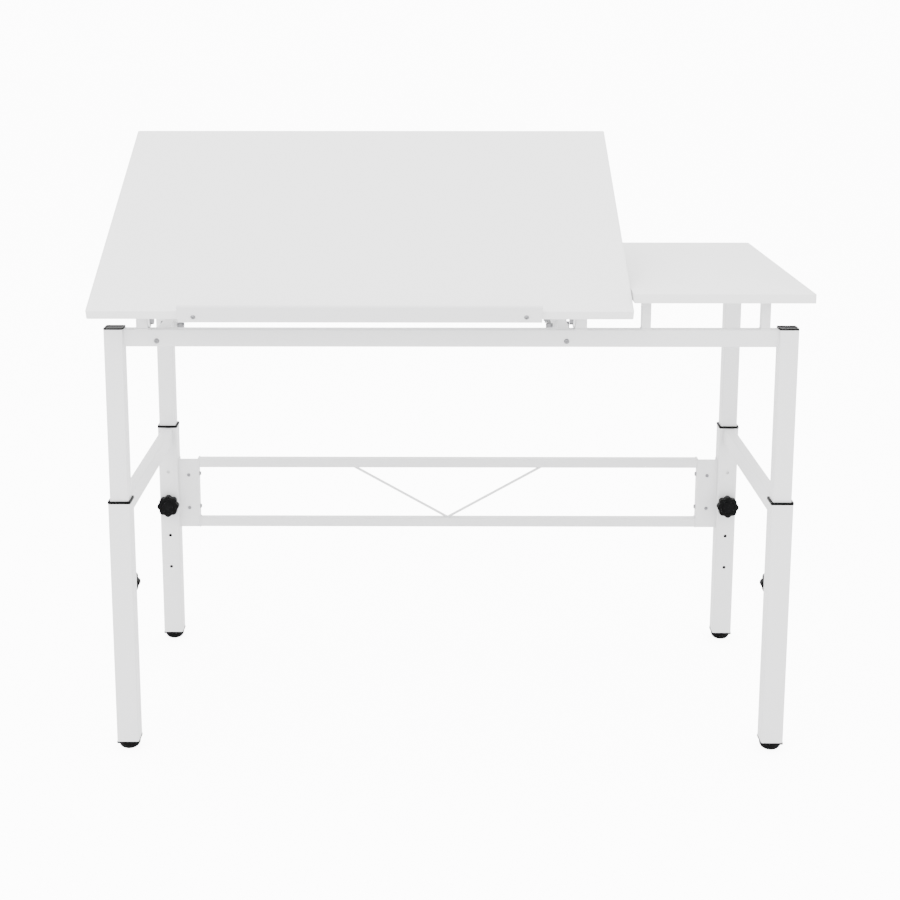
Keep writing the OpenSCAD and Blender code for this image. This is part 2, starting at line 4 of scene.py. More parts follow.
import bpy
from bpy.props import FloatProperty, FloatVectorProperty, IntProperty, PointerProperty
from mathutils import Matrix, Vector


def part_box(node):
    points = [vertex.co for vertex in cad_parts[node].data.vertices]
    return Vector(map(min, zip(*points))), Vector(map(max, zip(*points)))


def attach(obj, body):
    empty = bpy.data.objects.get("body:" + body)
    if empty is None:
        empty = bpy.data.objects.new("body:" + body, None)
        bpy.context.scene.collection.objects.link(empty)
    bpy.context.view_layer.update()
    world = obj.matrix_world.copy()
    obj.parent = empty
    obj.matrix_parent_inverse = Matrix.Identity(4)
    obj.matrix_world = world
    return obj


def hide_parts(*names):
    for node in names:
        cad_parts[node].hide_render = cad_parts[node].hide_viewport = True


bl_info = {
    "name": "Drafting Table",
    "version": (1, 0, 0),
    "blender": (4, 5, 0),
    "location": "View3D > Sidebar > Table",
    "description": "Dresses a drafting table: coated steel, tops, moulded knobs and welds",
    "category": "Object",
}

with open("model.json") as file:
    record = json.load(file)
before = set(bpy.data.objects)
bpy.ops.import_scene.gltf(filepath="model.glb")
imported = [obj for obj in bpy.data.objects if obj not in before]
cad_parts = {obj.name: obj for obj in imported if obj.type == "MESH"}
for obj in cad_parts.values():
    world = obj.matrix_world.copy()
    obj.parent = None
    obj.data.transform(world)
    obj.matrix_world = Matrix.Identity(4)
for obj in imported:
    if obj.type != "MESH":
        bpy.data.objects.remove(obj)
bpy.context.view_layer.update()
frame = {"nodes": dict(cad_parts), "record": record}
BOARD_TOP = next(m for m in frame["record"]["mounts"] if m["name"] == "board_top")
SLOTS = {s["node"]: s["material_slot"] for s in frame["record"]["subparts"]}
BODY_OF = {node: body for body, nodes in frame["record"]["behaviour"]["bodies"].items()
           for node in nodes}
BOARD_UP = Vector(BOARD_TOP["axis"])
BOARD_TILT = math.atan2(-BOARD_UP.y, BOARD_UP.z)
LEGS = ("front_left", "front_right", "rear_left", "rear_right")

# the lock knob: the grip's share of its length, and its lobes
LOCK_GRIP = 0.75
LOCK_LOBES = 5
# the flat dish in a cap's top: its share of the top's width, and its depth
CAP_DISH = 0.76
CAP_DISH_DEPTH = 0.0004
# the plugs of caps and feet stand this far inside the tube's outer face
PLUG_INSET = 0.0017
# the guides: gap to the inner tube, and both walls' take from the outer tube's width
COLLAR_GAP = 0.0003
COLLAR_WALLS = 0.003
# the feet: the flange's thickness, and the rounding of the dome as a share of its height
FLANGE = 0.003
DOME_ROUND = 0.84
# the groove round a foot's flat face: land outside it, width of its walls, floor, depth
GROOVE_LAND = 0.0014
GROOVE_WALL = 0.0006
GROOVE_FLOOR = 0.001
GROOVE_DEPTH = 0.0008
# the corners of the panels and of the weld beads
PANEL_CORNER = 0.003
BEAD_CORNER = 0.0025
# how far a bead sinks into the channel it ends on, as a share of its radius
BEAD_SINK = 0.35
# points on a knob's outline for each lobe, and the power that sharpens the lobes
LOBE_STEPS = 12
LOBE_POWER = 1.6
# the crown's steps inwards: factor on the width, rise in parts of the radius, made round or not
CROWN = ((0.91, 0.05, False), (0.82, 0.035, False), (0.9, 0.0, True),
         (0.9, -0.05, False), (0.95, 0.04, False), (0.8, 0.02, False))
# the leg knobs: neck in parts of the depth and of the radius, crown's rise, radius on edges
KNOB_NECK_DEPTH = 0.2
KNOB_NECK_WIDTH = 0.46
CROWN_RISE = 0.15
KNOB_EDGE = 0.0009
# the lock knobs: cut between lobes and neck's radius, in parts of the lobe depth
LOCK_CUT = 1.4
LOCK_NECK = 3
# the back of a knob: first step inwards, and the fit of the round neck's width
BACK_STEP = 0.92
NECK_FIT = 1.1
# the area lights: name, place, size and power
LIGHTS = (("key", (-1.6, -2.6, 3.2), (2.4, 2.4), 90),
          ("fill", (2.6, -2.2, 1.8), (2.0, 2.0), 20),
          ("top", (0.2, 0.6, 3.6), (3.0, 3.0), 60))
LIT_POINT = (0, 0, 0.6)
FLOOR_SIZE = 60


# ---- settings ----

class TableSizes(bpy.types.PropertyGroup):
    band: FloatProperty(
        name="Edge band", description="Thickness of the band on the panels' edges",
        default=0.0009, unit="LENGTH")
    seam: FloatProperty(
        name="Seam", description="Width of the hairline between band and face",
        default=0.00018, unit="LENGTH")
    arris: FloatProperty(
        name="Arris", description="Radius on the panels' edges", default=0.0007, unit="LENGTH")
    bead: FloatProperty(
        name="Weld bead", description="Radius of the weld beads", default=0.0016, unit="LENGTH")
    lobes: IntProperty(
        name="Lobes", description="Number of lobes on a leg knob", default=8, min=5, max=10)
    lobe_depth: FloatProperty(
        name="Lobe depth", description="How far a knob's grooves cut in",
        default=0.0026, unit="LENGTH")
    corner: FloatProperty(
        name="Corner", description="Radius on the upright edges of caps, collars and feet",
        default=0.003, unit="LENGTH")
    soft: FloatProperty(
        name="Moulded edge", description="Radius on the edges of moulded plastic",
        default=0.0006, unit="LENGTH")


class TableColours(bpy.types.PropertyGroup):
    coat: FloatVectorProperty(
        name="Coating", description="Powder coat of the steel frame", subtype="COLOR",
        default=(0.64, 0.64, 0.645))
    face: FloatVectorProperty(
        name="Panel face", description="Melamine faces of the panels", subtype="COLOR",
        default=(0.76, 0.76, 0.76))
    edge: FloatVectorProperty(
        name="Panel edge", description="Edge band of the panels", subtype="COLOR",
        default=(0.72, 0.72, 0.72))
    plastic: FloatVectorProperty(
        name="Plastic", description="Knobs, collars, caps and feet", subtype="COLOR",
        default=(0.0015, 0.0015, 0.0016))
    zinc: FloatVectorProperty(
        name="Zinc", description="Screws, bolts and rods", subtype="COLOR",
        default=(0.24, 0.24, 0.25))
    floor: FloatVectorProperty(
        name="Floor", description="Studio floor", subtype="COLOR", default=(0.96, 0.96, 0.96))


class StageSettings(bpy.types.PropertyGroup):
    eye: FloatVectorProperty(
        name="Eye", description="Place of the camera, from the table's middle on the floor",
        subtype="TRANSLATION", unit="LENGTH", default=(-0.0294, -2.9363, 1.288))
    pitch: FloatProperty(
        name="Pitch", description="Angle at which the camera looks down",
        subtype="ANGLE", unit="ROTATION", default=math.radians(11.33))
    turn: FloatProperty(
        name="Turn", description="Angle at which the camera looks to the right",
        subtype="ANGLE", unit="ROTATION", default=math.radians(-0.3))
    lens: FloatProperty(
        name="Lens", description="Focal length on a 36 mm sensor, in millimetres", default=65.5)
    sky: FloatProperty(
        name="Sky", description="Strength of the even light from all round", default=3.4)
    glow: FloatProperty(
        name="Glow", description="Brightness added to the floor and the backdrop", default=9.0)
    shift: FloatVectorProperty(
        name="Shift", description="Shift of the lens, in parts of the picture's width",
        size=2, default=(0.0278, -0.13))


# ---- node groups ----

def start_group(name, inputs, outputs):
    """A new shader node group. Inputs are name: default, outputs are name: socket type."""
    group = bpy.data.node_groups.new(name, "ShaderNodeTree")
    for label, default in inputs.items():
        kind = "NodeSocketColor" if isinstance(default, tuple) else "NodeSocketFloat"
        socket = group.interface.new_socket(label, in_out="INPUT", socket_type=kind)
        socket.default_value = default
    for label, kind in outputs.items():
        group.interface.new_socket(label, in_out="OUTPUT", socket_type=kind)
    first = group.nodes.new("NodeGroupInput")
    last = group.nodes.new("NodeGroupOutput")
    return group, first, last


def maths(tree, operation, a, b, c=None):
    """A Math node. a, b and c are sockets or numbers."""
    node = tree.nodes.new("ShaderNodeMath")
    node.operation = operation
    for i, value in enumerate((a, b, c)):
        if isinstance(value, bpy.types.NodeSocket):
            tree.links.new(value, node.inputs[i])
        elif value is not None:
            node.inputs[i].default_value = value
    return node.outputs[0]


def noise(tree, place, scale, detail=2.0, rough=0.5):
    """A Noise Texture's Fac. scale is a socket or a number."""
    node = tree.nodes.new("ShaderNodeTexNoise")
    node.inputs["Detail"].default_value = detail
    node.inputs["Roughness"].default_value = rough
    tree.links.new(place, node.inputs["Vector"])
    if isinstance(scale, bpy.types.NodeSocket):
        tree.links.new(scale, node.inputs["Scale"])
    else:
        node.inputs["Scale"].default_value = scale
    return node.outputs["Fac"]


def object_place(tree):
    return tree.nodes.new("ShaderNodeTexCoord").outputs["Object"]


def blend_colour(tree, fac, a, b):
    """A Mix node between two colours, which are sockets or tuples."""
    node = tree.nodes.new("ShaderNodeMix")
    node.data_type = "RGBA"
    for value, socket in ((fac, node.inputs[0]), (a, node.inputs[6]), (b, node.inputs[7])):
        if isinstance(value, bpy.types.NodeSocket):
            tree.links.new(value, socket)
        elif isinstance(value, tuple):
            socket.default_value = (*value[:3], 1.0)
        else:
            socket.default_value = value
    return node.outputs[2]


def make_grain_group():
    """Fine surface grain: two sizes of noise as a height, and a slow drift as a mask."""
    group, first, last = start_group(
        "Surface grain", {"Fine scale": 900.0, "Coarse scale": 140.0, "Coarse share": 0.4},
        {"Height": "NodeSocketFloat", "Drift": "NodeSocketFloat"})
    place = object_place(group)
    fine = noise(group, place, first.outputs["Fine scale"], 3.0)
    coarse = noise(group, place, first.outputs["Coarse scale"], 1.0)
    height = maths(group, "MULTIPLY_ADD", coarse, first.outputs["Coarse share"], fine)
    group.links.new(height, last.inputs["Height"])
    group.links.new(noise(group, place, 6.0, 3.0), last.inputs["Drift"])
    return group


def make_scuff_group():
    """Thin wandering scuffs and specks of dust, as two masks."""
    group, first, last = start_group(
        "Scuffs and dust", {"Scale": 14.0, "Dust scale": 420.0},
        {"Scuff": "NodeSocketFloat", "Dust": "NodeSocketFloat"})
    place = object_place(group)
    warp = group.nodes.new("ShaderNodeVectorMath")
    warp.operation = "MULTIPLY"
    warp.inputs[1].default_value = (1.0, 0.12, 1.0)
    group.links.new(place, warp.inputs[0])
    lines = noise(group, warp.outputs[0], first.outputs["Scale"], 6.0, 0.62)
    near = maths(group, "ABSOLUTE", maths(group, "SUBTRACT", lines, 0.5), 0.0)
    scuff = maths(group, "LESS_THAN", near, 0.0035)
    patches = noise(group, place, 5.0, 2.0)
    scuff = maths(group, "MULTIPLY", scuff, maths(group, "GREATER_THAN", patches, 0.56))
    specks = noise(group, place, first.outputs["Dust scale"], 1.0)
    dust = maths(group, "GREATER_THAN", specks, 0.76)
    group.links.new(scuff, last.inputs["Scuff"])
    group.links.new(dust, last.inputs["Dust"])
    return group


# ---- materials ----

def start_material(name):
    material = bpy.data.materials.new(name)
    material.use_nodes = True
    tree = material.node_tree
    shader = tree.nodes["Principled BSDF"]
    return material, tree, shader


def place_group(tree, group, **values):
    node = tree.nodes.new("ShaderNodeGroup")
    node.node_tree = group
    for label, value in values.items():
        node.inputs[label.replace("_", " ")].default_value = value
    return node


def bump(tree, shader, height, strength, distance):
    node = tree.nodes.new("ShaderNodeBump")
    node.inputs["Strength"].default_value = strength
    node.inputs["Distance"].default_value = distance
    tree.links.new(height, node.inputs["Height"])
    tree.links.new(node.outputs["Normal"], shader.inputs["Normal"])


def span(tree, fac, low, high):
    """A Map Range node from 0..1 to low..high."""
    node = tree.nodes.new("ShaderNodeMapRange")
    node.inputs["To Min"].default_value = low
    node.inputs["To Max"].default_value = high
    tree.links.new(fac, node.inputs["Value"])
    return node.outputs["Result"]


def shaded(colour, factor):
    return tuple(channel * factor for channel in colour)


def coated_steel(colour, grain, scuffs):
    """White powder coat: a fine orange peel, slightly uneven gloss and a few faint scuffs."""
    material, tree, shader = start_material("Coated steel")
    peel = place_group(tree, grain, Fine_scale=1500.0, Coarse_scale=520.0, Coarse_share=1.4)
    marks = place_group(tree, scuffs, Scale=22.0, Dust_scale=520.0)
    drift = span(tree, peel.outputs["Drift"], 0.0, 1.0)
    base = blend_colour(tree, drift, shaded(colour, 0.975), shaded(colour, 1.0))
    base = blend_colour(tree, maths(tree, "MULTIPLY", marks.outputs["Scuff"], 0.10),
                        base, (0.45, 0.45, 0.46))
    tree.links.new(base, shader.inputs["Base Color"])
    rough = span(tree, peel.outputs["Drift"], 0.34, 0.46)
    rough = maths(tree, "MULTIPLY_ADD", marks.outputs["Scuff"], 0.12, rough)
    tree.links.new(rough, shader.inputs["Roughness"])
    bump(tree, shader, peel.outputs["Height"], 0.16, 0.00012)
    return material


def panel_face(colour, grain, scuffs):
    """Melamine face: a fine pebble grain and faint specks of dust."""
    material, tree, shader = start_material("Panel face")
    pebble = place_group(tree, grain, Fine_scale=1900.0, Coarse_scale=700.0, Coarse_share=1.0)
    marks = place_group(tree, scuffs, Scale=9.0, Dust_scale=300.0)
    base = blend_colour(tree, pebble.outputs["Drift"], shaded(colour, 0.985), shaded(colour, 1.0))
    base = blend_colour(tree, maths(tree, "MULTIPLY", marks.outputs["Scuff"], 0.05),
                        base, (0.5, 0.5, 0.5))
    tree.links.new(base, shader.inputs["Base Color"])
    rough = span(tree, pebble.outputs["Drift"], 0.42, 0.52)
    rough = maths(tree, "MULTIPLY_ADD", marks.outputs["Dust"], 0.15, rough)
    tree.links.new(rough, shader.inputs["Roughness"])
    bump(tree, shader, pebble.outputs["Height"], 0.22, 0.0001)
    return material


def panel_edge(colour, grain):
    """Plastic edge band: smoother than the face, with faint lines along it."""
    material, tree, shader = start_material("Panel edge")
    lines = place_group(tree, grain, Fine_scale=700.0, Coarse_scale=90.0, Coarse_share=0.5)
    base = blend_colour(tree, lines.outputs["Drift"], shaded(colour, 0.97), shaded(colour, 1.0))
    tree.links.new(base, shader.inputs["Base Color"])
    tree.links.new(span(tree, lines.outputs["Drift"], 0.36, 0.44), shader.inputs["Roughness"])
    bump(tree, shader, lines.outputs["Height"], 0.1, 0.0001)
    return material


def moulded_plastic(name, colour, grain, scuffs, low, high):
    """Black moulded plastic: spark-eroded grain, uneven sheen and grey dust in it."""
    material, tree, shader = start_material(name)
    spark = place_group(tree, grain, Fine_scale=2600.0, Coarse_scale=900.0, Coarse_share=0.8)
    marks = place_group(tree, scuffs, Scale=60.0, Dust_scale=900.0)
    base = blend_colour(tree, spark.outputs["Drift"], shaded(colour, 0.8), shaded(colour, 1.5))
    base = blend_colour(tree, maths(tree, "MULTIPLY", marks.outputs["Dust"], 0.04),
                        base, (0.2, 0.2, 0.2))
    tree.links.new(base, shader.inputs["Base Color"])
    tree.links.new(span(tree, spark.outputs["Drift"], low, high), shader.inputs["Roughness"])
    shader.inputs["Specular IOR Level"].default_value = 0.045
    bump(tree, shader, spark.outputs["Height"], 0.3, 0.00012)
    return material


def zinc_steel(colour, grain):
    """Zinc-plated steel: a slightly mottled metal with a fine grain."""
    material, tree, shader = start_material("Zinc steel")
    shader.inputs["Metallic"].default_value = 1.0
    plating = place_group(tree, grain, Fine_scale=1400.0, Coarse_scale=260.0, Coarse_share=0.6)
    place = object_place(tree)
    mottle = noise(tree, place, 180.0, 4.0)
    base = blend_colour(tree, mottle, shaded(colour, 0.72), shaded(colour, 1.1))
    tree.links.new(base, shader.inputs["Base Color"])
    tree.links.new(span(tree, mottle, 0.26, 0.48), shader.inputs["Roughness"])
    bump(tree, shader, plating.outputs["Height"], 0.15, 0.0001)
    return material


def studio_floor(colour, glow):
    """Pale matt floor with a very slow change of tone, lit up where it is seen directly."""
    material, tree, shader = start_material("Studio floor")
    tone = noise(tree, object_place(tree), 0.8, 2.0)
    base = blend_colour(tree, tone, shaded(colour, 0.99), shaded(colour, 1.0))
    tree.links.new(base, shader.inputs["Base Color"])
    shader.inputs["Roughness"].default_value = 0.9
    shader.inputs["Specular IOR Level"].default_value = 0.1
    shader.inputs["Emission Color"].default_value = (1, 1, 1, 1)
    seen = tree.nodes.new("ShaderNodeLightPath").outputs["Is Camera Ray"]
    tree.links.new(maths(tree, "MULTIPLY", seen, glow), shader.inputs["Emission Strength"])
    return material


def build_materials():
    """Makes every material once, from the colours that are set."""
    colours = bpy.context.scene.table_colours
    grain = make_grain_group()
    scuffs = make_scuff_group()
    coated_steel(tuple(colours.coat), grain, scuffs)
    panel_face(tuple(colours.face), grain, scuffs)
    panel_edge(tuple(colours.edge), grain)
    moulded_plastic("Moulded plastic", tuple(colours.plastic), grain, scuffs, 0.38, 0.55)
    moulded_plastic("Roller nylon", tuple(colours.plastic), grain, scuffs, 0.45, 0.6)
    zinc_steel(tuple(colours.zinc), grain)
    studio_floor(tuple(colours.floor), bpy.context.scene.table_stage.glow)


def dress(node_name, material_name):
    """Gives a CAD node one material all over."""
    slots = frame["nodes"][node_name].data.materials
    slots.clear()
    slots.append(bpy.data.materials[material_name])


# ---- modelling helpers ----

def start_piece(name):
    """Names the new primitive, which is the active object, and returns it."""
    piece = bpy.context.object
    piece.name = name
    piece.data.name = name
    return piece


def only(piece):
    """Makes one object the only selected and active one."""
    bpy.ops.object.select_all(action="DESELECT")
    piece.select_set(True)
    bpy.context.view_layer.objects.active = piece


def pick_faces(piece, test):
    """In edit mode, selects the faces whose centre and normal pass the test."""
    bpy.ops.mesh.select_mode(type="FACE")
    bpy.ops.mesh.select_all(action="DESELECT")
    bpy.ops.object.mode_set(mode="OBJECT")
    for face in piece.data.polygons:
        face.select = test(face.center, face.normal)
    bpy.ops.object.mode_set(mode="EDIT")


def pick_edges(piece, test):
    """In edit mode, selects the edges whose two ends pass the test."""
    bpy.ops.mesh.select_mode(type="EDGE")
    bpy.ops.mesh.select_all(action="DESELECT")
    bpy.ops.object.mode_set(mode="OBJECT")
    points = piece.data.vertices
    for edge in piece.data.edges:
        edge.select = test(*(points[i].co for i in edge.vertices))
    bpy.ops.object.mode_set(mode="EDIT")


def settle(piece):
    """Moves the object's place into its mesh and points its faces outwards."""
    only(piece)
    bpy.ops.object.transform_apply(location=True, rotation=True, scale=True)
    bpy.ops.object.mode_set(mode="EDIT")
    bpy.ops.mesh.select_all(action="SELECT")
    bpy.ops.mesh.remove_doubles(threshold=0.000001)
    bpy.ops.mesh.normals_make_consistent(inside=False)
    bpy.ops.object.mode_set(mode="OBJECT")


def round_edges(piece, width, segments=3, angle=40.0):
    """Bevels the sharp edges and shades the rest smooth."""
    only(piece)
    modifier = piece.modifiers.new("Arris", "BEVEL")
    modifier.width = width
    modifier.segments = segments
    modifier.limit_method = "ANGLE"
    modifier.angle_limit = math.radians(angle)
    bpy.ops.object.modifier_apply(modifier=modifier.name)
    bpy.ops.object.shade_smooth_by_angle(angle=math.radians(30))


def hand_over(piece, body, slot, *nodes):
    """Lets the finished piece ride on its body, in the place of the CAD nodes it stands for."""
    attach(piece, body)
    if nodes:
        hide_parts(*nodes)


def give(piece, *names):
    piece.data.materials.clear()
    for name in names:
        piece.data.materials.append(bpy.data.materials[name])


# ---- tops ----

def make_panel(name, node, size, turn, centre):
    """A laminated panel: banded edges, hairline seams round both faces and eased arrises."""
    sizes = bpy.context.scene.table_sizes
    bpy.ops.object.select_all(action="DESELECT")
    bpy.ops.mesh.primitive_cube_add(size=1)
    piece = start_piece(name)
    piece.scale = size
    bpy.ops.object.transform_apply(location=False, rotation=False, scale=True)
    half = size / 2
    bpy.ops.object.mode_set(mode="EDIT")
    pick_edges(piece, lambda a, b: abs(a.z - b.z) > half.z)
    bpy.ops.mesh.bevel(offset=PANEL_CORNER, segments=6, affect="EDGES")
    for up in (1, -1):
        pick_faces(piece, lambda c, n, up=up: n.z * up > 0.9 and abs(c.z - up * half.z) < 1e-5)
        bpy.ops.mesh.inset(thickness=sizes.arris + sizes.band, depth=0.0)
        bpy.ops.mesh.inset(thickness=sizes.seam, depth=-sizes.seam * 0.8)
        bpy.ops.mesh.inset(thickness=sizes.seam, depth=sizes.seam * 0.8)
    bpy.ops.object.mode_set(mode="OBJECT")
    give(piece, "Panel edge", "Panel face")
    for face in piece.data.polygons:
        wide = abs(face.normal.z) > 0.9 and face.area > 0.01
        face.material_index = 1 if wide else 0
    round_edges(piece, sizes.arris, 3, 60.0)
    piece.rotation_euler = (turn, 0, 0)
    piece.location = centre
    settle(piece)
    hand_over(piece, BODY_OF[node], SLOTS[node], node)


class TABLE_OT_tops(bpy.types.Operator):
    """Build the two laminated tops with their banded edges"""
    bl_idname = "table.tops"
    bl_label = "Laminated tops"
    bl_options = {"REGISTER", "UNDO"}

    def execute(self, context):
        low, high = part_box("side_table")
        flat = high - low
        make_panel("side_top", "side_table", flat, 0.0, (low + high) / 2)
        low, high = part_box("board")
        span_y = high.y - low.y
        depth = (span_y - flat.z * math.sin(BOARD_TILT)) / math.cos(BOARD_TILT)
        size = Vector((high.x - low.x, depth, flat.z))
        make_panel("drawing_top", "board", size, BOARD_TILT, (low + high) / 2)
        return {"FINISHED"}


# ---- knobs ----

def slope_face(factor, rise, rounded=False):
    """In edit mode, steps the picked level face inwards about the Z axis and up by a rise."""
    bpy.ops.mesh.extrude_region_move(TRANSFORM_OT_translate={"value": (0, 0, rise)})
    if rounded:
        bpy.ops.transform.tosphere(value=1.0)
    bpy.ops.transform.resize(value=(factor, factor, 1), center_override=(0, 0, 0))


def make_knob(name, radius, depth, lobes, cut, neck, neck_depth):
    """A lobed knob that stands on the origin, its neck below and its crown along +Z."""
    bpy.ops.object.select_all(action="DESELECT")
    bpy.ops.mesh.primitive_cylinder_add(
        vertices=LOBE_STEPS * lobes, radius=radius, depth=depth,
        location=(0, 0, neck_depth + depth / 2))
    piece = start_piece(name)
    bpy.ops.object.transform_apply(location=True, rotation=False, scale=False)
    bpy.ops.object.mode_set(mode="EDIT")
    bpy.ops.mesh.select_mode(type="VERT")
    turn = 2 * math.pi / (LOBE_STEPS * lobes)
    for step in range(LOBE_STEPS):
        ripple = (1 - math.cos(2 * math.pi * step / LOBE_STEPS)) / 2
        if ripple < 1e-6:
            continue
        bpy.ops.mesh.select_all(action="DESELECT")
        bpy.ops.object.mode_set(mode="OBJECT")
        for point in piece.data.vertices:
            place = round(math.atan2(point.co.y, point.co.x) / turn) % LOBE_STEPS
            point.select = place == step
        bpy.ops.object.mode_set(mode="EDIT")
        factor = 1 - cut * ripple ** LOBE_POWER / radius
        bpy.ops.transform.resize(value=(factor, factor, 1), center_override=(0, 0, 0))
    top = neck_depth + depth
    pick_faces(piece, lambda c, n: n.z > 0.9 and abs(c.z - top) < 1e-5)
    for factor, rise, rounded in CROWN:
        slope_face(factor, radius * rise, rounded)
    pick_faces(piece, lambda c, n: n.z < -0.9 and abs(c.z - neck_depth) < 1e-5)
    slope_face(BACK_STEP, 0)
    slope_face(neck / (radius - cut / 2) * NECK_FIT, 0, True)
    slope_face(1.0, -neck_depth)
    bpy.ops.object.mode_set(mode="OBJECT")
    return piece


def axis_turn(direction):
    """The turn that takes +Z to a direction."""
    return Vector((0, 0, 1)).rotation_difference(direction)


def place_copy(source, name, place, direction):
    only(source)
    bpy.ops.object.duplicate()
    piece = start_piece(name)
    piece.rotation_mode = "QUATERNION"
    piece.rotation_quaternion = axis_turn(direction)
    piece.location = place
    settle(piece)
    return piece


class TABLE_OT_knobs(bpy.types.Operator):
    """Build the leg knobs and the prop's lock knobs"""
    bl_idname = "table.knobs"
    bl_label = "Knobs"
    bl_options = {"REGISTER", "UNDO"}

    def execute(self, context):
        sizes = context.scene.table_sizes
        low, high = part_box("knob_rear_left")
        radius = (high.z - low.z) / 2
        depth = high.y - low.y
        neck = depth * KNOB_NECK_DEPTH
        source = make_knob("knob_source", radius, depth - neck - radius * CROWN_RISE,
                           sizes.lobes, sizes.lobe_depth, radius * KNOB_NECK_WIDTH, neck)
        round_edges(source, KNOB_EDGE, 3, 32.0)
        give(source, "Moulded plastic")
        for leg in LEGS:
            node = "knob_" + leg
            low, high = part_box(node)
            out = Vector((0, 1 if leg.startswith("front") else -1, 0))
            middle = (low + high) / 2
            back = low.y if out.y > 0 else high.y
            piece = place_copy(source, "star_" + node, (middle.x, back, middle.z), out)
            hand_over(piece, BODY_OF[node], SLOTS[node], node)
        bpy.data.objects.remove(source)
        for side, out in (("left", Vector((1, 0, 0))), ("right", Vector((-1, 0, 0)))):
            node = "lock_knob_" + side
            low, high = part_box(node)
            middle = (low + high) / 2
            depth = (high.x - low.x) * LOCK_GRIP
            neck = high.x - low.x - depth
            piece = make_knob("small_" + node, (high.z - low.z) / 2, depth, LOCK_LOBES,
                              sizes.lobe_depth * LOCK_CUT, sizes.lobe_depth * LOCK_NECK, neck)
            round_edges(piece, sizes.soft, 3, 32.0)
            give(piece, "Moulded plastic")
            piece.rotation_mode = "QUATERNION"
            piece.rotation_quaternion = axis_turn(out)
            piece.location = (low.x if out.x > 0 else high.x, middle.y, middle.z)
            settle(piece)
            hand_over(piece, BODY_OF[node], SLOTS[node], node)
        return {"FINISHED"}


# ---- plastic fittings of the tubes ----

def block(name, size, centre):
    """A box to start from, as the active object in object mode, with its size in its mesh."""
    bpy.ops.object.select_all(action="DESELECT")
    bpy.ops.mesh.primitive_cube_add(size=1)
    piece = start_piece(name)
    piece.scale = size
    piece.location = centre
    bpy.ops.object.transform_apply(location=True, rotation=False, scale=True)
    return piece


def round_uprights(piece, radius, test=lambda a, b: True):
    """Bevels the box's upright edges that pass the test."""
    only(piece)
    bpy.ops.object.mode_set(mode="EDIT")
    pick_edges(piece, lambda a, b: abs(a.z - b.z) > 1e-4 and test(a, b))
    bpy.ops.mesh.bevel(offset=radius, segments=5, affect="EDGES")
    bpy.ops.object.mode_set(mode="OBJECT")


def join(pieces):
    bpy.ops.object.select_all(action="DESELECT")
    for piece in pieces:
        piece.select_set(True)
    bpy.context.view_layer.objects.active = pieces[0]
    bpy.ops.object.join()
    return bpy.context.object


def ring(name, outside, inside, low, high, centre):
    """A square ring between two heights, its outer corners still sharp."""
    size = (outside, outside, high - low)
    piece = block(name, size, (centre.x, centre.y, (low + high) / 2))
    bpy.ops.object.mode_set(mode="EDIT")
    pick_faces(piece, lambda c, n: abs(n.z) > 0.9)
    bpy.ops.mesh.delete(type="FACE")
    bpy.ops.object.mode_set(mode="OBJECT")
    wall = piece.modifiers.new("Wall", "SOLIDIFY")
    wall.thickness = (outside - inside) / 2
    wall.offset = -1
    wall.use_even_offset = True
    bpy.ops.object.modifier_apply(modifier=wall.name)
    return piece


def sink_face(centre, factor, depth):
    """In edit mode, sinks the middle of the picked level face, a share (factor) of its width."""
    bpy.ops.mesh.extrude_region_move(TRANSFORM_OT_translate={"value": (0, 0, 0)})
    bpy.ops.transform.resize(value=(factor, factor, 1), center_override=centre)
    bpy.ops.mesh.extrude_region_move(TRANSFORM_OT_translate={"value": (0, 0, -depth)})


def leg_axis(leg):
    low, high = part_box("leg_" + leg)
    return (low + high) / 2


